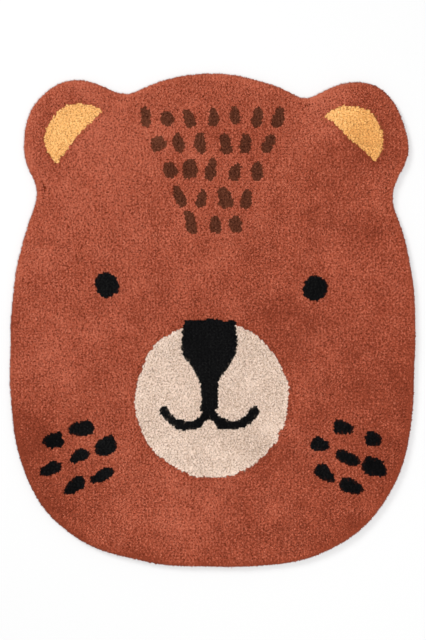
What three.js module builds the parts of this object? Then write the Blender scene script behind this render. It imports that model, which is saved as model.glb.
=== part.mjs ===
// Kids' rug shaped as a bear's head: one flat piece of tufted cotton, its short cut pile on a cloth backing.
// Millimetres, +Z up. The origin lies on the floor under the middle of the rug, and +Y runs towards the ears.

import * as THREE from "three";

// Driving dimensions
const rugWidth = 1000;
const rugLength = 1216;
const rugThickness = 15;

// The head is widest a little below its middle, and is rounder above that line than below it.
const head = {
  widestY: -0.033 * rugLength,
  topPower: 2.03,
  bottomPower: 2.84,
};

// Each ear is a disc that runs into the head through a soft notch. Made by hand, the two are not quite alike.
const leftEar = {
  x: -0.32 * rugWidth,
  y: 0.356 * rugLength,
  radius: 0.147 * rugWidth,
  notchBlend: 43,
};
const rightEar = {
  x: 0.34 * rugWidth,
  y: 0.361 * rugLength,
  radius: 0.142 * rugWidth,
  notchBlend: 67,
};

// The cut edge bulges and draws in a little: cycles round the rug, size and phase of each wave.
const edgeWaves = [
  { cycles: 3, size: 1.3, phase: 1.2 },
  { cycles: 4, size: 3.5, phase: -0.8 },
  { cycles: 7, size: 1.1, phase: -0.4 },
  { cycles: 11, size: 0.6, phase: 2.1 },
  { cycles: 23, size: 0.5, phase: 4.4 },
];

// Here and there, most of all at the ears, the hand cut strays further: direction, spread and how far out.
const edgeStrays = [
  { direction: 37, spread: 3, out: 4.5 },
  { direction: 45, spread: 3, out: -8 },
  { direction: 56, spread: 3, out: 5.5 },
  { direction: 67, spread: 2.2, out: -11 },
  { direction: 109, spread: 8, out: -4.5 },
  { direction: 121, spread: 3.4, out: 6 },
  { direction: 136, spread: 3.5, out: -7.5 },
  { direction: 143, spread: 2.2, out: 6.5 },
  { direction: 251, spread: 5, out: -3.5 },
];

// The edge in section, from the backing's rim on the floor, over the bulging side, to the level pile.
const edgeSections = [
  { inset: 5, height: 0 },
  { inset: 1.2, height: 2.5 },
  { inset: 0, height: 7 },
  { inset: 2, height: 11.4 },
  { inset: 7, height: 14.1 },
  { inset: 17, height: rugThickness },
];

// Rings of the level pile, as shares of the distance from the middle to the last edge section.
const pileRings = [0.93, 0.84, 0.73, 0.6, 0.46, 0.31, 0.15];

// The pile is sheared by hand, so its top swells and dips: wavelengths across and along, height and phase.
const pileWaves = [
  { across: 410, along: 620, rise: 0.45, phase: 0.9 },
  { across: 260, along: 300, rise: 0.35, phase: 2.7 },
  { across: 170, along: 210, rise: 0.25, phase: 4.8 },
];

const outlinePoints = 240;
const rustYarn = 0xa6523b;

const wavesAt = (angle) =>
  edgeWaves.reduce((sum, w) => sum + w.size * Math.sin(w.cycles * angle + w.phase), 0);

const straysAt = (angle) =>
  edgeStrays.reduce((sum, s) => {
    const turns = (THREE.MathUtils.radToDeg(angle) - s.direction) / s.spread;
    return sum + s.out * Math.exp((-turns * turns) / 2);
  }, 0);

// How far a point is outside the head, along the ray from the head's widest line.
function outsideHead(x, y) {
  const dy = y - head.widestY;
  const reach = dy > 0 ? rugLength / 2 - head.widestY : rugLength / 2 + head.widestY;
  const power = dy > 0 ? head.topPower : head.bottomPower;
  const across = Math.abs(x) / (rugWidth / 2);
  const along = Math.abs(dy) / reach;
  const share = (across ** power + along ** power) ** (1 / power);
  return Math.hypot(x, dy) * (1 - 1 / share);
}

// Outside both the head and the ear on this side, with the corner where they meet filled to a soft notch.
function outsideRug(x, y) {
  const ear = x < 0 ? leftEar : rightEar;
  const fromHead = outsideHead(x, y);
  const fromEar = Math.hypot(x - ear.x, y - ear.y) - ear.radius;
  const overlap = Math.max(ear.notchBlend - Math.abs(fromHead - fromEar), 0) / ear.notchBlend;
  return Math.min(fromHead, fromEar) - (overlap * overlap * ear.notchBlend) / 4;
}

// The outline's point in one direction from the middle, found by halving.
function outlinePoint(angle) {
  const ray = new THREE.Vector2(Math.cos(angle), Math.sin(angle));
  let inside = 0.3 * rugWidth;
  let outside = 0.8 * rugWidth;
  while (outside - inside > 0.001) {
    const middle = (inside + outside) / 2;
    if (outsideRug(ray.x * middle, ray.y * middle) < 0) inside = middle;
    else outside = middle;
  }
  return ray.multiplyScalar(inside + wavesAt(angle) + straysAt(angle));
}

// The outline, with the middle of its box at the origin, drawn out to the rug's width and length.
function centredOutline() {
  const turn = (2 * Math.PI) / outlinePoints;
  const points = Array.from({ length: outlinePoints }, (_, i) => outlinePoint(i * turn));
  const box = new THREE.Box2().setFromPoints(points);
  const middle = box.getCenter(new THREE.Vector2());
  const fit = new THREE.Vector2(rugWidth, rugLength).divide(box.getSize(new THREE.Vector2()));
  return points.map((p) => p.sub(middle).multiply(fit));
}

// The outline drawn in by an even distance.
function insetOutline(outline, inset) {
  return outline.map((point, i) => {
    const before = outline.at(i - 1);
    const after = outline[(i + 1) % outline.length];
    const along = after.clone().sub(before).normalize();
    return new THREE.Vector2(point.x - along.y * inset, point.y + along.x * inset);
  });
}

function pileHeight(x, y) {
  const swell = pileWaves.reduce((sum, w) => {
    const turns = x / w.across + y / w.along;
    const cross = x / w.along - y / w.across;
    return sum + w.rise * Math.sin(2 * Math.PI * turns + w.phase) * Math.cos(2 * Math.PI * cross);
  }, 0);
  return rugThickness + swell;
}

// All rings of the skin, from the rim on the floor to the one round the middle of the pile.
function skinRings(outline) {
  const edge = edgeSections.map((section) =>
    insetOutline(outline, section.inset).map((p) => new THREE.Vector3(p.x, p.y, section.height)),
  );
  const levelRim = edge.at(-1);
  const pile = pileRings.map((share) =>
    levelRim.map((p) => new THREE.Vector3(p.x * share, p.y * share, pileHeight(p.x * share, p.y * share))),
  );
  return [...edge, ...pile];
}

// A closed skin: bands between the rings, closed by a fan under the rug and one at the middle of the pile.
function rugGeometry() {
  const rings = skinRings(centredOutline());
  const vertices = rings.flat();
  const underMiddle = vertices.push(new THREE.Vector3(0, 0, 0)) - 1;
  const topMiddle = vertices.push(new THREE.Vector3(0, 0, pileHeight(0, 0))) - 1;
  const lastRing = (rings.length - 1) * outlinePoints;
  const faces = [];
  for (let i = 0; i < outlinePoints; i++) {
    const next = (i + 1) % outlinePoints;
    faces.push(underMiddle, next, i);
    for (let start = 0; start < lastRing; start += outlinePoints) {
      const above = start + outlinePoints;
      faces.push(start + i, start + next, above + next);
      faces.push(start + i, above + next, above + i);
    }
    faces.push(lastRing + i, lastRing + next, topMiddle);
  }
  const geometry = new THREE.BufferGeometry().setFromPoints(vertices);
  geometry.setIndex(faces);
  geometry.computeVertexNormals();
  return geometry;
}

const cottonPile = new THREE.MeshStandardMaterial({ color: rustYarn, roughness: 0.95, metalness: 0 });

const rug = new THREE.Mesh(rugGeometry(), cottonPile);
rug.name = "rug";

const kidsRug = new THREE.Group();
kidsRug.add(rug);

export default kidsRug;
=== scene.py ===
# Kids' rug cut to a bear's head: short cotton pile tufted into a cloth ground, lying flat on a pale floor.
# Metres, +Z up. The rug lies on z = 0 with its middle at the origin, and +Y runs towards the ears.

import math

import bpy
import numpy as np
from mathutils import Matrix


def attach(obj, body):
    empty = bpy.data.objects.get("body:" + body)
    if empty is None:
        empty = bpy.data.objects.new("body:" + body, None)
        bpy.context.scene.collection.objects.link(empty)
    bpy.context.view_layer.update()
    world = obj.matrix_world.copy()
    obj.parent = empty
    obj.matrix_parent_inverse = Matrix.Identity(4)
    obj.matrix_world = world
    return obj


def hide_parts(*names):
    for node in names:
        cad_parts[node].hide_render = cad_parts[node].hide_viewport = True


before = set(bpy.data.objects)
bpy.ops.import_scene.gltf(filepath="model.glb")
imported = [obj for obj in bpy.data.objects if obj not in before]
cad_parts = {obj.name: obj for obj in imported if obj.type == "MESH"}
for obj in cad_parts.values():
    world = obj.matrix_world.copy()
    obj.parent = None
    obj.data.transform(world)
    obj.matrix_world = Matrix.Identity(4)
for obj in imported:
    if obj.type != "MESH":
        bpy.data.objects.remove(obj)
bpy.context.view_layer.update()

# Camera straight above, as in the photograph
view = {
    "height": 3.5,
    "photoLength": 640,       # pixels
    "rugPixels": 407.6,       # how many of them the rug is wide
    "rugOffset": (-0.3, -0.3),  # of them, from the photograph's middle to the rug's: to the right and up
    "sensor": 36.0,           # mm, along the photograph's long side
}

# Outline of the head and ears
rugShape = {
    "width": 1.0,
    "length": 1.216,
    "thickness": 0.015,
    "widestY": -0.033,        # of the length
    "topPower": 2.03,
    "bottomPower": 2.84,
    "leftEar": (-0.320, 0.356, 0.147, 0.043),   # across, along, radius, blend at the notch
    "rightEar": (0.340, 0.361, 0.142, 0.067),
    "edgeWaves": [  # cycles, size, phase
        (3, 0.0013, 1.2), (4, 0.0035, -0.8), (7, 0.0011, -0.4), (11, 0.0006, 2.1), (23, 0.0005, 4.4),
    ],
    "edgeStrays": [  # direction and spread in degrees, how far out
        (37, 3, 0.0045), (45, 3, -0.008), (56, 3, 0.0055), (67, 2.2, -0.011), (109, 8, -0.0045),
        (121, 3.4, 0.006), (136, 3.5, -0.0075), (143, 2.2, 0.0065), (251, 5, -0.0035),
    ],
    "points": 1440,
    "searched": (0.3, 0.8),   # shares of the width from the middle, between which the edge is sought
    "halvings": 24,
}

# Every random draw starts from one of these, so that the rug comes out the same each time
seeds = {
    "dabs": 5, "tufts": 7, "leanX": 11, "leanY": 12, "top": 13, "waverX": 21, "waverY": 23, "tone": 31,
    "stitchAlong": 41, "stitchAcross": 42,
}


def makeCamera():
    frameLength = rugShape["width"] * view["photoLength"] / view["rugPixels"]
    pixel = rugShape["width"] / view["rugPixels"]
    data = bpy.data.cameras.new("camera")
    data.sensor_width = view["sensor"]
    data.lens = view["sensor"] * (view["height"] - rugShape["thickness"]) / frameLength
    camera = bpy.data.objects.new("camera", data)
    camera.location = (-view["rugOffset"][0] * pixel, -view["rugOffset"][1] * pixel, view["height"])
    bpy.context.collection.objects.link(camera)
    bpy.context.scene.camera = camera
    print("camera: lens", round(data.lens, 1), "mm")


makeCamera()


# Outline, the same formulas as the solid's

def outsideHead(x, y):
    s = rugShape
    widestY = s["widestY"] * s["length"]
    dy = y - widestY
    reach = np.where(dy > 0, s["length"] / 2 - widestY, s["length"] / 2 + widestY)
    power = np.where(dy > 0, s["topPower"], s["bottomPower"])
    across = np.abs(x) / (s["width"] / 2)
    along = np.abs(dy) / reach
    share = (across ** power + along ** power) ** (1 / power)
    return np.hypot(x, dy) * (1 - 1 / share)


def outsideRug(x, y):
    s = rugShape
    left, right = np.array(s["leftEar"]), np.array(s["rightEar"])
    earX, earY, radius, blend = np.where(x < 0, left[:, None], right[:, None])
    head = outsideHead(x, y)
    ear = np.hypot(x - earX * s["width"], y - earY * s["length"]) - radius * s["width"]
    overlap = np.maximum(blend - np.abs(head - ear), 0) / blend
    return np.minimum(head, ear) - overlap * overlap * blend / 4


def makeOutline():
    angle = np.linspace(0, 2 * math.pi, rugShape["points"], endpoint=False)
    ray = np.column_stack([np.cos(angle), np.sin(angle)])
    nearest, furthest = rugShape["searched"]
    inside = np.full(len(angle), nearest * rugShape["width"])
    outside = np.full(len(angle), furthest * rugShape["width"])
    for _ in range(rugShape["halvings"]):
        middle = (inside + outside) / 2
        within = outsideRug(ray[:, 0] * middle, ray[:, 1] * middle) < 0
        inside = np.where(within, middle, inside)
        outside = np.where(within, outside, middle)
    for cycles, size, phase in rugShape["edgeWaves"]:
        inside = inside + size * np.sin(cycles * angle + phase)
    for direction, spread, out in rugShape["edgeStrays"]:
        inside = inside + out * np.exp(-((np.degrees(angle) - direction) / spread) ** 2 / 2)
    points = ray * inside[:, None]
    low, high = points.min(0), points.max(0)
    return (points - (low + high) / 2) * [rugShape["width"], rugShape["length"]] / (high - low)


def inwardOf(line):
    along = np.roll(line, -1, 0) - np.roll(line, 1, 0)
    along /= np.linalg.norm(along, axis=1)[:, None]
    return np.column_stack([-along[:, 1], along[:, 0]])


# How far points lie inside the outline, measured square to it
def depthInside(x, y):
    turn, reach = np.arctan2(outline[:, 1], outline[:, 0]), np.hypot(*outline.T)
    square = -np.sum(outline * outlineInward, axis=1) / reach
    at = np.arctan2(y, x)
    gap = np.interp(at, turn, reach, period=2 * math.pi) - np.hypot(x, y)
    return gap * np.interp(at, turn, square, period=2 * math.pi)


# Points an even step apart along a closed line, with the inward direction at each
def evenSteps(line, step, start):
    inward = inwardOf(line)
    closed = np.vstack([line, line[:1]])
    length = np.concatenate([[0], np.cumsum(np.hypot(*np.diff(closed, axis=0).T))])
    count = round(length[-1] / step)
    at = (np.arange(count) + start) * length[-1] / count
    at %= length[-1]
    point = [np.interp(at, length, closed[:, i]) for i in (0, 1)]
    way = [np.interp(at, length, np.append(inward[:, i], inward[0, i])) for i in (0, 1)]
    return np.column_stack(point), np.column_stack(way)


outline = makeOutline()
outlineInward = inwardOf(outline)


# Face, drawn in changes of yarn. Each motif has its yarn and the distance outside it.

face = {
    "eyes": [(-0.259, 0.087, 0.0285), (0.252, 0.078, 0.031)],  # across, along, radius
    "muzzle": (-0.003, -0.194, 0.188, 1.022),  # across, along, radius, and how much taller than wide
    "noseX": -0.0085, "noseTop": 0.001, "noseNeck": -0.190, "noseWidth": 0.138, "neckWidth": 0.041,
    "noseFull": 0.34, "noseNarrow": 0.88,  # shares of the nose's height between which it narrows
    "noseBrow": 0.004,      # drawn in at the top, on each side
    "noseSlope": 0.85,      # turns a gap across into one square to the sloping sides
    "noseCorner": 0.009,
    "noseFoot": 0.022,      # how far the neck runs down past the lips' middles
    "lipX": 0.056, "lipY": -0.1975, "lipRadius": 0.060, "lineWidth": 0.023,
    "lipStart": -2.8,       # where each lip leaves the neck, in radians round its middle
    "lipEnd": -0.46,        # and where it ends
    "lipTip": 0.002,        # by which the outer end is fuller than the line
}

# Inside each ear a half disc of ochre, its flat side to the face:
# across, along, radius, how hollow the flat side is, and its turn in degrees
innerEars = {-1: (-0.327, 0.447, 0.085, 0.0065, 49), 1: (0.3375, 0.444, 0.082, 0.0035, 42)}
innerEarCorner = 0.007

# Forehead: staggered rows of short dabs that narrow towards the eyes and fan out to the sides
forehead = {
    "rows": (7, 6, 5, 4, 3), "top": 0.500, "rowStep": 0.066, "step": 0.055,
    "length": 0.047, "width": 0.029, "fan": 2.2,  # radians of tilt for each metre off the middle
}

# Cheeks: a cluster of longer dabs in rows of two, three and two, mirrored
cheek = {
    "x": 0.332, "y": -0.336, "rows": (2, 3, 2), "rowStep": 0.063, "step": 0.075, "turn": 0.42,
    "length": 0.061, "width": 0.0335,
}

# A dab is an oval, squarer than an ellipse and a little fuller at one end
dabOval = {"power": 2.4, "fuller": 0.22}

# How unlike the dabs are, being made by hand: place, tilt and size
byHand = {"place": 0.0024, "tilt": 0.16, "size": 0.13}


def discGap(x, y, cx, cy, radius, tall=1.0):
    return np.hypot(x - cx, (y - cy) / tall) - radius


def dabGap(x, y, cx, cy, tilt, length, width):
    dx, dy = math.sin(tilt), math.cos(tilt)
    power = dabOval["power"]
    along = ((x - cx) * dx + (y - cy) * dy) / (length / 2)
    across = ((x - cx) * dy - (y - cy) * dx) / (width / 2) * (1 + dabOval["fuller"] * along)
    share = (np.abs(along) ** power + np.abs(across) ** power) ** (1 / power)
    return (share - 1) * width / 2


def halfMoonGap(x, y, side):
    cx, cy, radius, hollow, degrees = innerEars[side]
    turn = math.radians(degrees)
    dx, dy = side * (x - cx), y - cy
    corner = innerEarCorner
    disc = np.hypot(dx, dy) - radius + corner
    along = (dx * math.cos(turn) - dy * math.sin(turn)) / radius
    flat = corner - dx * math.sin(turn) - dy * math.cos(turn) + hollow * (1 - along * along)
    rounded = np.hypot(np.maximum(disc, 0), np.maximum(flat, 0))
    return np.minimum(np.maximum(disc, flat), 0) + rounded - corner


# Shield of a nose that narrows in a curve to the neck above the lips
def noseGap(x, y):
    f = face
    share = (f["noseTop"] - y) / (f["noseTop"] - f["noseNeck"])
    narrowed = np.clip((share - f["noseFull"]) / (f["noseNarrow"] - f["noseFull"]), 0, 1)
    narrowed = narrowed * narrowed * (3 - 2 * narrowed)
    brow = f["noseBrow"] * np.clip(1 - share / f["noseFull"], 0, 1)
    half = (f["noseWidth"] * (1 - narrowed) + f["neckWidth"] * narrowed) / 2 - brow
    side = (np.abs(x - f["noseX"]) - half) * f["noseSlope"] + f["noseCorner"]
    above = y - f["noseTop"] + f["noseCorner"]
    rounded = np.hypot(np.maximum(side, 0), np.maximum(above, 0)) + np.minimum(np.maximum(side, above), 0)
    return np.maximum(rounded - f["noseCorner"], f["lipY"] - f["noseFoot"] - y)


def lipGap(x, y):
    f = face
    dx, dy = np.abs(x - f["noseX"]) - f["lipX"], y - f["lipY"]
    turn = np.arctan2(dy, dx)
    onArc = (turn < f["lipEnd"]) & (turn > f["lipStart"])
    arc = np.abs(np.hypot(dx, dy) - f["lipRadius"])
    endX, endY = f["lipRadius"] * math.cos(f["lipEnd"]), f["lipRadius"] * math.sin(f["lipEnd"])
    ends = np.hypot(dx - endX, dy - endY) - f["lipTip"]
    return np.minimum(np.where(onArc, arc, 1.0), ends) - f["lineWidth"] / 2


# Dabs in rows that are even but for the hand that made them
def makeDabs(spec, rng):
    dabs = []
    middle = (len(spec["rows"]) - 1) / 2
    for row, count in enumerate(spec["rows"]):
        for i in range(count):
            shift = rng.normal(0, byHand["place"], 2)
            size = 1 + byHand["size"] * rng.normal(size=2)
            across = (i - (count - 1) / 2) * spec["step"] + shift[0]
            along = (middle - row) * spec["rowStep"] + shift[1]
            tilt = byHand["tilt"] * rng.normal()
            dabs.append((across, along, tilt, spec["length"] * size[0], spec["width"] * size[1]))
    return dabs


def makeMotifs():
    rng = np.random.default_rng(seeds["dabs"])
    f = face
    motifs = [("cream", lambda x, y: discGap(x, y, *f["muzzle"]))]
    motifs.append(("black", noseGap))
    motifs.append(("black", lipGap))
    for eye in f["eyes"]:
        motifs.append(("black", lambda x, y, e=eye: discGap(x, y, *e)))
    for side in (-1, 1):
        motifs.append(("ochre", lambda x, y, s=side: halfMoonGap(x, y, s)))
        for across, along, tilt, length, width in makeDabs(cheek, rng):
            turn = cheek["turn"]
            cx = side * (cheek["x"] + across * math.cos(turn) + along * math.sin(turn))
            cy = cheek["y"] + along * math.cos(turn) - across * math.sin(turn)
            dab = (cx, cy, side * (turn + math.pi / 2) + tilt, length, width)
            motifs.append(("black", lambda x, y, a=dab: dabGap(x, y, *a)))
    foreheadMiddle = forehead["top"] - (len(forehead["rows"]) - 1) / 2 * forehead["rowStep"]
    for across, along, tilt, length, width in makeDabs(forehead, rng):
        dab = (across, foreheadMiddle + along, forehead["fan"] * across + tilt, length, width)
        motifs.append(("brown", lambda x, y, a=dab: dabGap(x, y, *a)))
    return motifs


# Soft noise on a turned lattice, drawn out at the end to a spread of about one
def softNoise(x, y, size, seed):
    rng = np.random.default_rng(seed)
    turn = rng.uniform(0, math.pi)
    u = (x * math.cos(turn) + y * math.sin(turn)) / size
    v = (y * math.cos(turn) - x * math.sin(turn)) / size
    cells = 4 + 2 * int(rugShape["length"] / size)
    lattice = rng.standard_normal((cells + 1, cells + 1))
    i, j = np.floor(u).astype(int), np.floor(v).astype(int)
    u, v = u - i, v - j
    u, v = u * u * (3 - 2 * u), v * v * (3 - 2 * v)
    i, j = (i + cells // 2) % cells, (j + cells // 2) % cells
    low = lattice[i, j] * (1 - u) + lattice[i + 1, j] * u
    high = lattice[i, j + 1] * (1 - u) + lattice[i + 1, j + 1] * u
    return 1.5 * (low * (1 - v) + high * v)


motifs = makeMotifs()
yarnNames = ["rust", "cream", "ochre", "brown", "black"]
handDrawn = [(0.007, 0.0008), (0.030, 0.0013)]  # waver of every motif's edge: its length and size


# Yarn of each point, and how far it is from the nearest change of yarn
def readFace(x, y):
    for i, (length, size) in enumerate(handDrawn):
        waverX = size * softNoise(x, y, length, seeds["waverX"] + i)
        waverY = size * softNoise(x, y, length, seeds["waverY"] + i)
        x, y = x + waverX, y + waverY
    yarn = np.zeros(len(x), int)
    gap = np.full(len(x), 1.0)
    for name, outside in motifs:
        index = yarnNames.index(name)
        d = outside(x, y)
        same = yarn == index
        within = np.where(same, np.maximum(gap, -d), -d)
        beside = np.where(same, gap, np.minimum(gap, d))
        gap = np.where(d < 0, within, beside)
        yarn[d < 0] = index
    return yarn, gap


# Pile: cut tufts of cotton yarn, in close staggered rows, and rows that follow the edge round the rim

pile = {
    "pitch": 0.0047,
    "stray": 0.20,            # how far a tuft strays from its row, in pitches
    "rimGap": 0.3,            # between the field and the rim rows, in pitches
    "rootHeight": 0.0090,
    # swells of the top: wavelengths across and along, height and phase
    "swells": [(0.41, 0.62, 0.00045, 0.9), (0.26, 0.30, 0.00035, 2.7), (0.17, 0.21, 0.00025, 4.8)],
    "sheared": 0.0005,        # how far the tufts stop below the top, before they come out uneven
    "unevenTop": 0.0006,      # of neighbouring tufts
    "unevenPatch": 0.02,      # and of patches of this size, by a share of that
    "unevenShare": 0.35,
    "lean": 0.13,             # sideways for each metre up, in patches
    "leanPatch": 0.045,
    "strayLean": 0.17,        # the same, each tuft for itself
    "strands": 5,             # in each tuft
    "footRing": 0.34,         # how far the strands stand from the tuft's middle, in pitches
    "tipRing": 0.26,
    "turnStray": 0.35,        # of the strands round that ring, in radians
    "unevenTip": 0.4,
    "strandRadius": 0.38,
    "unevenSize": 0.25,
    "raggedTop": 0.0008,
    "lowest": 0.0003,         # nothing of a strand comes nearer to the floor
    "strandTone": {"rust": 1.35, "cream": 2.6, "ochre": 1.25, "brown": 0.8, "black": 0.8},
    # tufts draw apart where the yarn changes: how far, within what reach, how much lower and how aslant
    "partingPush": 0.0004,
    "partingReach": 0.0030,
    "partingDrop": 0.0004,
    "partingLean": 0.06,
    "pieceTriangles": 190000,  # most in one piece
}

# Rim rows from the pile's top over the bulging side: inset and height of the tips, then of the roots
rimRows = [
    (0.0170, 0.0148, 0.0172, 0.0090),
    (0.0128, 0.0146, 0.0138, 0.0089),
    (0.0090, 0.0141, 0.0108, 0.0086),
    (0.0057, 0.0131, 0.0084, 0.0080),
    (0.0031, 0.0114, 0.0068, 0.0070),
    (0.0014, 0.0090, 0.0060, 0.0058),
    (0.0008, 0.0062, 0.0056, 0.0044),
    (0.0013, 0.0036, 0.0054, 0.0030),
    (0.0024, 0.0012, 0.0056, 0.0018),
]

# How far the rim's tufts stray: along it at the root, inward by a share of that, at the tip, and in height.
# No tip comes lower than the last value.
rimStray = {"root": 0.0006, "inward": 0.5, "tip": 0.0007, "height": 0.0004, "lowestTip": 0.0008}

# Tone of the tufts, random and with painted light and shade in it: minus is darker, plus is paler, and the
# cotton finish says how far one step goes
tones = {
    "ofOne": 0.55,   # by which a tuft differs from those on either side
    "layers": [(0.026, 0.20), (0.055, 0.27), (0.12, 0.17)],  # uneven dye and wear: patch size and weight
    "rim": [(0.0105, -1.35, 0.8), (0.030, -0.25, 1.3)],  # painted shade along the edge: reach, tone at the edge, its rise to the ears
    "seamLightAndShade": {"reach": 0.0080, "rust": -1.6, "cream": 1.7},  # painted shade on the rust and painted light on the pale yarn, where the two meet
    "rows": {"step": 0.0081, "along": 0.75, "across": 0.45},  # faint lines of the tufting
    "rowWander": {"by": 1.0, "patch": 0.045},
    "shadeSlope": -0.95,  # painted shade: darker to the right, further from the lights
    # and painted light and shade in patches, where the nap lies another way to the light: place, size and
    # tone
    "patches": [
        (-0.45, -0.30, 0.12, -2.2), (0.47, -0.32, 0.15, -1.6), (-0.06, -0.49, 0.09, 1.3),
        (0.02, 0.02, 0.14, -0.5), (-0.23, 0.43, 0.12, 1.6), (0.27, 0.51, 0.07, 1.8),
        (0.22, 0.22, 0.08, 0.5), (-0.43, 0.18, 0.09, 0.8), (-0.33, 0.45, 0.08, 1.0),
        (0.49, -0.08, 0.10, -1.1), (0.10, -0.57, 0.14, -0.6), (-0.34, -0.54, 0.09, -1.4),
        (-0.23, -0.05, 0.09, 0.4), (0.19, -0.04, 0.10, -1.0), (0.365, 0.455, 0.045, -1.8),
        (-0.42, -0.43, 0.07, -1.0), (-0.50, 0.00, 0.05, -0.9), (0.31, -0.56, 0.06, -0.9),
        (-0.16, -0.31, 0.04, -1.0), (0.13, -0.33, 0.05, -1.2),
    ],
}


def pileTop(x, y):
    height = np.full(len(x), rugShape["thickness"])
    for across, along, rise, phase in pile["swells"]:
        turns, cross = x / across + y / along, x / along - y / across
        height += rise * np.sin(2 * math.pi * turns + phase) * np.cos(2 * math.pi * cross)
    return height


# Staggered rows of tufts over the whole rug, up to the rim rows
def fieldRows(rng):
    p = pile["pitch"]
    rowGap = p * math.sqrt(3) / 2
    across = np.arange(-rugShape["width"] / 2, rugShape["width"] / 2, p)
    rows = np.arange(-rugShape["length"] / 2, rugShape["length"] / 2, rowGap)
    x, y = np.meshgrid(across, rows)
    x = x + np.where(np.arange(len(rows)) % 2, 0, p / 2)[:, None]
    x, y = x.ravel(), y.ravel()
    x = x + rng.normal(0, pile["stray"] / 2, len(x)) * p
    y = y + rng.normal(0, pile["stray"] / 2, len(y)) * p
    field = depthInside(x, y) > rimRows[0][0] + pile["rimGap"] * p
    return x[field], y[field]


def plantField(rng):
    x, y = fieldRows(rng)
    # the way to the nearest change of yarn, read over a small nudge
    yarn, gap = readFace(x, y)
    nudge = 0.0004
    slopeX = (readFace(x + nudge, y)[1] - gap) / nudge
    slopeY = (readFace(x, y + nudge)[1] - gap) / nudge
    near = np.exp(-(gap / pile["partingReach"]) ** 2)
    x = x + slopeX * near * pile["partingPush"]
    y = y + slopeY * near * pile["partingPush"]
    leanX = pile["lean"] * softNoise(x, y, pile["leanPatch"], seeds["leanX"])
    leanX += pile["strayLean"] * rng.normal(size=len(x))
    leanX += slopeX * near * pile["partingLean"]
    leanY = pile["lean"] * softNoise(x, y, pile["leanPatch"], seeds["leanY"])
    leanY += pile["strayLean"] * rng.normal(size=len(x))
    leanY += slopeY * near * pile["partingLean"]
    top = pileTop(x, y) - pile["sheared"] - near * pile["partingDrop"]
    patchy = pile["unevenShare"] * softNoise(x, y, pile["unevenPatch"], seeds["top"])
    top += pile["unevenTop"] * (patchy + rng.normal(size=len(x)))
    root = np.column_stack([x, y, np.full(len(x), pile["rootHeight"])])
    rise = top - pile["rootHeight"]
    tip = root + np.column_stack([leanX * rise, leanY * rise, rise])
    return root, tip, yarn, depthInside(x, y)


def plantRim(rng):
    roots, tips, insets = [], [], []
    for i, (tipInset, tipHeight, rootInset, rootHeight) in enumerate(rimRows):
        # every other row starts half a step on
        point, inward = evenSteps(outline, pile["pitch"], 0.5 * (i % 2))
        along = np.column_stack([inward[:, 1], -inward[:, 0]])
        count = len(point)
        stray = rng.normal(0, rimStray["root"], (count, 3))
        root = point + inward * (rootInset + stray[:, :1] * rimStray["inward"]) + along * stray[:, 1:2]
        wander = rng.normal(0, rimStray["tip"], (count, 2))
        tip = point + inward * (tipInset + wander[:, :1]) + along * (stray[:, 1:2] + wander[:, 1:])
        height = np.maximum(tipHeight + rng.normal(0, rimStray["height"], count), rimStray["lowestTip"])
        roots.append(np.column_stack([root, np.full(count, rootHeight)]))
        tips.append(np.column_stack([tip, height]))
        insets.append(np.full(count, tipInset))
    root, tip = np.vstack(roots), np.vstack(tips)
    return root, tip, np.zeros(len(root), int), np.concatenate(insets)


def makeTone(x, y, yarn, inset, rng):
    own = rng.normal(size=len(x))
    # each tuft's own random tone, and painted shade that darkens towards the right
    tone = tones["ofOne"] * (own - (np.roll(own, 1) + np.roll(own, -1)) / 2) + tones["shadeSlope"] * x
    # painted light and shade in patches
    for px, py, size, shift in tones["patches"]:
        tone += shift * np.exp(-((x - px) ** 2 + (y - py) ** 2) / size ** 2)
    # painted shade, darker towards the rug's edge
    for reach, atEdge, rise in tones["rim"]:
        tone += (atEdge + rise * y) * np.exp(-(inset / reach) ** 2)
    # painted shade on rust tufts and painted light on cream tufts beside a pale motif
    pale = [np.abs(outside(x, y)) for name, outside in motifs if name in ("cream", "ochre")]
    nearSeamLightAndShade = np.exp(-(np.min(pale, axis=0) / tones["seamLightAndShade"]["reach"]) ** 2)
    for name in ("rust", "cream"):
        tone += tones["seamLightAndShade"][name] * (yarn == yarnNames.index(name)) * nearSeamLightAndShade
    for i, (size, weight) in enumerate(tones["layers"]):
        tone += weight * softNoise(x, y, size, seeds["tone"] + i)
    rows, wander = tones["rows"], tones["rowWander"]
    for way, at, seed in (("along", x, "stitchAlong"), ("across", y, "stitchAcross")):
        shifted = wander["by"] * softNoise(x, y, wander["patch"], seeds[seed])
        tone += rows[way] * np.cos(2 * math.pi * at / rows["step"] + shifted)
    return tone


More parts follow.
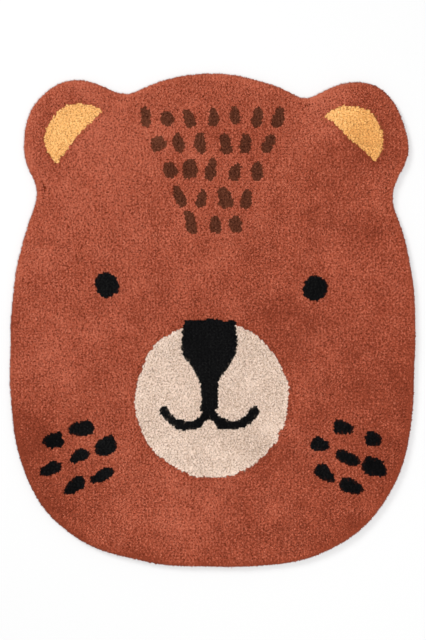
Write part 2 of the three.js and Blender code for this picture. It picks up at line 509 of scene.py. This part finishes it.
# Corners of the strands: three round the foot of each, and its tip
def strandCorners(root, tip, rng):
    p, strands, tufts = pile["pitch"], pile["strands"], len(root)
    count = tufts * strands
    root, tip = [np.repeat(ends, strands, axis=0) for ends in (root, tip)]
    axis = tip - root
    axis = axis / np.linalg.norm(axis, axis=1)[:, None]
    # square to the strand and to Y, or to X where the strand lies nearly along Y
    nearY = np.abs(axis[:, 1:2]) > 0.7
    across = np.cross(axis, np.where(nearY, [[1.0, 0, 0]], [[0, 1.0, 0]]))
    across /= np.linalg.norm(across, axis=1)[:, None]
    other = np.cross(axis, across)
    turn = np.repeat(rng.uniform(0, 2 * math.pi, tufts), strands)
    turn = turn + np.tile(np.arange(strands), tufts) * 2 * math.pi / strands
    turn = (turn + pile["turnStray"] * rng.normal(size=count))[:, None]
    way = across * np.cos(turn) + other * np.sin(turn)
    foot = root + way * p * pile["footRing"]
    end = tip + way * p * pile["tipRing"] * (1 + pile["unevenTip"] * rng.normal(size=(count, 1)))
    end = end + axis * pile["raggedTop"] * rng.normal(size=(count, 1))
    twist = rng.uniform(0, 2 * math.pi, (count, 1)) + np.arange(3) * 2 * math.pi / 3
    radius = p * pile["strandRadius"] * (1 + pile["unevenSize"] * rng.normal(size=(count, 1)))
    side = across[:, None] * (radius * np.cos(twist))[..., None]
    side = side + other[:, None] * (radius * np.sin(twist))[..., None]
    points = np.concatenate([foot[:, None] + side, end[:, None]], axis=1)
    points[..., 2] = np.maximum(points[..., 2], pile["lowest"])
    return points


# One mesh of many tufts. Each is a bundle of strands, three-sided and drawn out to a tip.
def tuftMesh(name, root, tip, tone, strandTone, material, rng):
    points = strandCorners(root, tip, rng)
    count = len(points)
    sides = np.array([0, 1, 3, 1, 2, 3, 2, 0, 3])  # corners of a strand's three sides
    loops = (sides + (np.arange(count) * 4)[:, None]).ravel()
    faceCount = 3 * count
    mesh = bpy.data.meshes.new(name)
    mesh.vertices.add(count * 4)
    mesh.vertices.foreach_set("co", points.astype(np.float32).ravel())
    mesh.loops.add(len(loops))
    mesh.loops.foreach_set("vertex_index", loops.astype(np.int32))
    mesh.polygons.add(faceCount)
    mesh.polygons.foreach_set("loop_start", np.arange(0, len(loops), 3, dtype=np.int32))
    mesh.polygons.foreach_set("loop_total", np.full(faceCount, 3, dtype=np.int32))
    mesh.polygons.foreach_set("use_smooth", np.ones(faceCount, bool))
    tone = np.repeat(tone, pile["strands"]) + strandTone * rng.normal(size=count)
    toneLayer = mesh.attributes.new("tone", "FLOAT", "POINT")
    toneLayer.data.foreach_set("value", np.repeat(tone, 4).astype(np.float32))
    flat = points.reshape(-1, 3)[loops][:, :2]
    low, high = flat.min(0), flat.max(0)
    uv = mesh.uv_layers.new(name="OFBake")
    uv.data.foreach_set("uv", ((flat - low) / (high - low)).astype(np.float32).ravel())
    mesh.update()
    mesh.validate()
    mesh.materials.append(material)
    piece = bpy.data.objects.new(name, mesh)
    bpy.context.collection.objects.link(piece)
    return piece


# Finishes

def newMaterial(name):
    material = bpy.data.materials.new(name)
    material.use_nodes = True
    nodes = material.node_tree.nodes
    return material, nodes, material.node_tree.links, nodes["Principled BSDF"]


yarns = {
    "rust": {"deep": (0.235, 0.044, 0.0190), "mid": (0.39, 0.089, 0.044), "pale": (0.500, 0.145, 0.083)},
    "cream": {"deep": (0.544, 0.420, 0.333), "mid": (0.657, 0.523, 0.435), "pale": (0.744, 0.615, 0.528)},
    "ochre": {"deep": (0.66, 0.34, 0.105), "mid": (0.745, 0.42, 0.14), "pale": (0.85, 0.52, 0.21)},
    "brown": {"deep": (0.066, 0.018, 0.009), "mid": (0.110, 0.031, 0.015), "pale": (0.16, 0.052, 0.027)},
    "black": {
        "deep": (0.0038, 0.0038, 0.0041), "mid": (0.0065, 0.0064, 0.0067), "pale": (0.012, 0.012, 0.012),
    },
}
yarnGloss = {"rust": 0.15, "cream": 0.15, "ochre": 0.15, "brown": 0.08, "black": 0.02}

cotton = {
    "toneStep": 0.22,         # one of a tuft's tone, on the way from deep to pale
    "toneMiddle": 0.262,
    "fibreScale": 1100,
    "fibreDetail": 3,
    "fibreShare": 0.5,        # of the fibres in the tone
    "bumpStrength": 0.6,
    "bumpDepth": 0.0004,
    "roughness": 0.95,
    "sheen": 0.12,
    "sheenRoughness": 0.6,
}


def cottonFinish(name, yarn, gloss):
    material, nodes, links, shader = newMaterial(name)
    tone = nodes.new("ShaderNodeAttribute")
    tone.attribute_name = "tone"
    place = nodes.new("ShaderNodeTexCoord")
    fibre = nodes.new("ShaderNodeTexNoise")
    fibre.inputs["Scale"].default_value = cotton["fibreScale"]
    fibre.inputs["Detail"].default_value = cotton["fibreDetail"]
    links.new(place.outputs["Object"], fibre.inputs["Vector"])
    spread = nodes.new("ShaderNodeMath")
    spread.operation = "MULTIPLY_ADD"
    spread.inputs[1].default_value = cotton["toneStep"]
    spread.inputs[2].default_value = cotton["toneMiddle"]
    links.new(tone.outputs["Fac"], spread.inputs[0])
    both = nodes.new("ShaderNodeMath")  # tone of the tuft and its fibres, from 0 to 1
    both.operation = "MULTIPLY_ADD"
    both.inputs[1].default_value = cotton["fibreShare"]
    links.new(fibre.outputs["Fac"], both.inputs[0])
    links.new(spread.outputs[0], both.inputs[2])
    ramp = nodes.new("ShaderNodeValToRGB")
    ramp.color_ramp.elements[0].color = (*yarn["deep"], 1)
    ramp.color_ramp.elements[1].color = (*yarn["pale"], 1)
    ramp.color_ramp.elements.new(0.5).color = (*yarn["mid"], 1)
    links.new(both.outputs[0], ramp.inputs["Fac"])
    links.new(ramp.outputs["Color"], shader.inputs["Base Color"])
    bump = nodes.new("ShaderNodeBump")
    bump.inputs["Strength"].default_value = cotton["bumpStrength"]
    bump.inputs["Distance"].default_value = cotton["bumpDepth"]
    links.new(fibre.outputs["Fac"], bump.inputs["Height"])
    links.new(bump.outputs["Normal"], shader.inputs["Normal"])
    shader.inputs["Roughness"].default_value = cotton["roughness"]
    shader.inputs["Specular IOR Level"].default_value = gloss
    shader.inputs["Sheen Weight"].default_value = cotton["sheen"]
    shader.inputs["Sheen Roughness"].default_value = cotton["sheenRoughness"]
    shader.inputs["Sheen Tint"].default_value = (*yarn["pale"], 1)
    return material


def plantPile():
    rng = np.random.default_rng(seeds["tufts"])
    field, rim = plantField(rng), plantRim(rng)
    root, tip, yarn, inset = [np.concatenate(pair) for pair in zip(field, rim)]
    tone = makeTone(root[:, 0], root[:, 1], yarn, inset, rng)
    pieces = []
    for index, name in enumerate(yarnNames):
        chosen = np.flatnonzero(yarn == index)
        chosen = chosen[np.argsort(root[chosen, 1], kind="stable")]
        strips = math.ceil(len(chosen) * 3 * pile["strands"] / pile["pieceTriangles"])
        material = cottonFinish(name + "Cotton", yarns[name], yarnGloss[name])
        for i, part in enumerate(np.array_split(chosen, strips)):
            pieceName = f"{name}_pile_{i + 1}" if strips > 1 else f"{name}_pile"
            strandTone = pile["strandTone"][name]
            piece = tuftMesh(pieceName, root[part], tip[part], tone[part], strandTone, material, rng)
            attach(piece, "root")
            pieces.append(piece)
        print("pile:", name, len(chosen), "tufts in", strips, "pieces")
    print("pile:", len(root), "tufts,", len(root) * 3 * pile["strands"], "triangles")
    return pieces


# Ground: the cloth that the tufts stand in, with its turned edge and plain underside

ground = {
    "sections": [  # inset and height
        (0.0060, 0.0), (0.0050, 0.0008), (0.0044, 0.0020), (0.0042, 0.0034),
        (0.0046, 0.0056), (0.0060, 0.0076), (0.0092, 0.0090), (0.0170, 0.0096),
    ],
    "rings": 56,
    "clothTop": 3,            # sections below this one are bare cloth
    "points": 360,
}
cloth = {
    "threadScale": 160,       # threads 2 mm apart
    "threadWaver": 1.2,
    "threadDetail": 3,
    "threadShare": 0.45,      # of the threads in the shade, the rest being slubs
    "slubScale": 60,
    "slubDetail": 6,
    "shadeFrom": 0.45,
    "dark": (0.36, 0.29, 0.20),
    "pale": (0.62, 0.54, 0.42),
    "bumpDepth": 0.0006,
    "roughness": 0.9,
}
roots = {"shade": 0.45, "roughness": 0.95, "gloss": 0.05}  # where the tufts stand: painted shade, as the share of the yarn's deep colour left in the gaps between tufts


def makeGround():
    step = rugShape["points"] // ground["points"]
    line, inward = outline[::step], outlineInward[::step]
    rings = []
    for inset, height in ground["sections"]:
        rings.append(np.column_stack([line + inward * inset, np.full(len(line), height)]))
    last = rings[-1]
    for i in range(ground["rings"] - 1, 0, -1):
        rings.append(np.column_stack([last[:, :2] * i / ground["rings"], last[:, 2]]))
    count = len(line)
    points = np.vstack(rings + [[[0, 0, 0]], [[0, 0, last[0, 2]]]])
    under, over = len(points) - 2, len(points) - 1
    here = np.arange(count)
    after = (here + 1) % count
    faces = [(under, b, a) for a, b in zip(here, after)]
    underCount = len(faces)
    for start in range(0, (len(rings) - 1) * count, count):
        up = start + count
        faces += [(start + a, start + b, up + b, up + a) for a, b in zip(here, after)]
    top = (len(rings) - 1) * count
    faces += [(top + a, top + b, over) for a, b in zip(here, after)]
    mesh = bpy.data.meshes.new("rug_ground")
    mesh.from_pydata(points.tolist(), [], [tuple(int(v) for v in f) for f in faces])
    bare = underCount + ground["clothTop"] * count
    mesh.materials.append(clothFinish())
    mesh.materials.append(rootFinish())
    slots = np.array([0] * bare + [1] * (len(faces) - bare), dtype=np.int32)
    mesh.polygons.foreach_set("material_index", slots)
    mesh.polygons.foreach_set("use_smooth", np.ones(len(faces), bool))
    # painted shade at the roots: each yarn's deep colour darkened, so the gaps between the tufts read as
    # shadow
    rootYarn = readFace(points[:, 0], points[:, 1])[0]
    deep = np.array([[*yarns[name]["deep"], 1 / roots["shade"]] for name in yarnNames]) * roots["shade"]
    colour = mesh.attributes.new("rootColourAndShade", "FLOAT_COLOR", "POINT")
    colour.data.foreach_set("color", deep[rootYarn].astype(np.float32).ravel())
    mesh.update()
    piece = bpy.data.objects.new("rug_ground", mesh)
    bpy.context.collection.objects.link(piece)
    print("ground:", len(faces), "faces")
    return piece


def clothFinish():
    material, nodes, links, shader = newMaterial("naturalCloth")
    place = nodes.new("ShaderNodeTexCoord")
    weave = nodes.new("ShaderNodeMath")
    weave.operation = "MAXIMUM"
    for i, way in enumerate(("X", "Y")):
        thread = nodes.new("ShaderNodeTexWave")
        thread.bands_direction = way
        thread.inputs["Scale"].default_value = cloth["threadScale"]
        thread.inputs["Distortion"].default_value = cloth["threadWaver"]
        thread.inputs["Detail Scale"].default_value = cloth["threadDetail"]
        links.new(place.outputs["Object"], thread.inputs["Vector"])
        links.new(thread.outputs["Fac"], weave.inputs[i])
    slub = nodes.new("ShaderNodeTexNoise")
    slub.inputs["Scale"].default_value = cloth["slubScale"]
    slub.inputs["Detail"].default_value = cloth["slubDetail"]
    links.new(place.outputs["Object"], slub.inputs["Vector"])
    both = nodes.new("ShaderNodeMath")
    both.operation = "MULTIPLY_ADD"
    both.inputs[1].default_value = cloth["threadShare"]
    links.new(weave.outputs[0], both.inputs[0])
    links.new(slub.outputs["Fac"], both.inputs[2])
    ramp = nodes.new("ShaderNodeValToRGB")
    ramp.color_ramp.elements[0].position = cloth["shadeFrom"]
    ramp.color_ramp.elements[0].color = (*cloth["dark"], 1)
    ramp.color_ramp.elements[1].color = (*cloth["pale"], 1)
    links.new(both.outputs[0], ramp.inputs["Fac"])
    links.new(ramp.outputs["Color"], shader.inputs["Base Color"])
    bump = nodes.new("ShaderNodeBump")
    bump.inputs["Distance"].default_value = cloth["bumpDepth"]
    links.new(weave.outputs[0], bump.inputs["Height"])
    links.new(bump.outputs["Normal"], shader.inputs["Normal"])
    shader.inputs["Roughness"].default_value = cloth["roughness"]
    return material


# Roots of the tufts, their colour darkened as painted shade
def rootFinish():
    material, nodes, links, shader = newMaterial("pileRootsShaded")
    colour = nodes.new("ShaderNodeAttribute")
    colour.attribute_name = "rootColourAndShade"
    links.new(colour.outputs["Color"], shader.inputs["Base Color"])
    shader.inputs["Roughness"].default_value = roots["roughness"]
    shader.inputs["Specular IOR Level"].default_value = roots["gloss"]
    return material


pilePieces = plantPile()
rugGround = makeGround()
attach(rugGround, "root")
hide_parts("rug")


# Floor and light

studio = {
    "floorSize": 60.0,
    "floorShade": 0.58,
    "floorRoughness": 0.9,
    "skyStrength": 0.58,
    "lights": {  # power, size, place
        "overhead": (355.0, 3.2, (1.1, -1.1, 6.0)),
        "low": (279.0, 2.2, (-4.1, 4.1, 3.6)),
    },
}


def makeFloor():
    half = studio["floorSize"] / 2
    mesh = bpy.data.meshes.new("floor")
    corners = [(-half, -half, 0), (half, -half, 0), (half, half, 0), (-half, half, 0)]
    mesh.from_pydata(corners, [], [(0, 1, 2, 3)])
    material, _, _, shader = newMaterial("paleFloor")
    shader.inputs["Base Color"].default_value = (studio["floorShade"],) * 3 + (1,)
    shader.inputs["Roughness"].default_value = studio["floorRoughness"]
    shader.inputs["Specular IOR Level"].default_value = 0.0
    mesh.materials.append(material)
    floor = bpy.data.objects.new("floor", mesh)
    bpy.context.collection.objects.link(floor)


def makeLight():
    world = bpy.data.worlds.new("studio")
    world.use_nodes = True
    world.node_tree.nodes["Background"].inputs["Color"].default_value = (1, 1, 1, 1)
    world.node_tree.nodes["Background"].inputs["Strength"].default_value = studio["skyStrength"]
    bpy.context.scene.world = world
    for name, (power, size, place) in studio["lights"].items():
        data = bpy.data.lights.new(name, "AREA")
        data.shape = "DISK"
        data.size = size
        data.energy = power
        light = bpy.data.objects.new(name, data)
        light.location = place
        light.rotation_euler = (-light.location).to_track_quat("-Z", "Y").to_euler()
        bpy.context.collection.objects.link(light)
    bpy.context.scene.view_settings.view_transform = "Standard"


makeFloor()
makeLight()
print("studio: floor, sky and two soft lights")
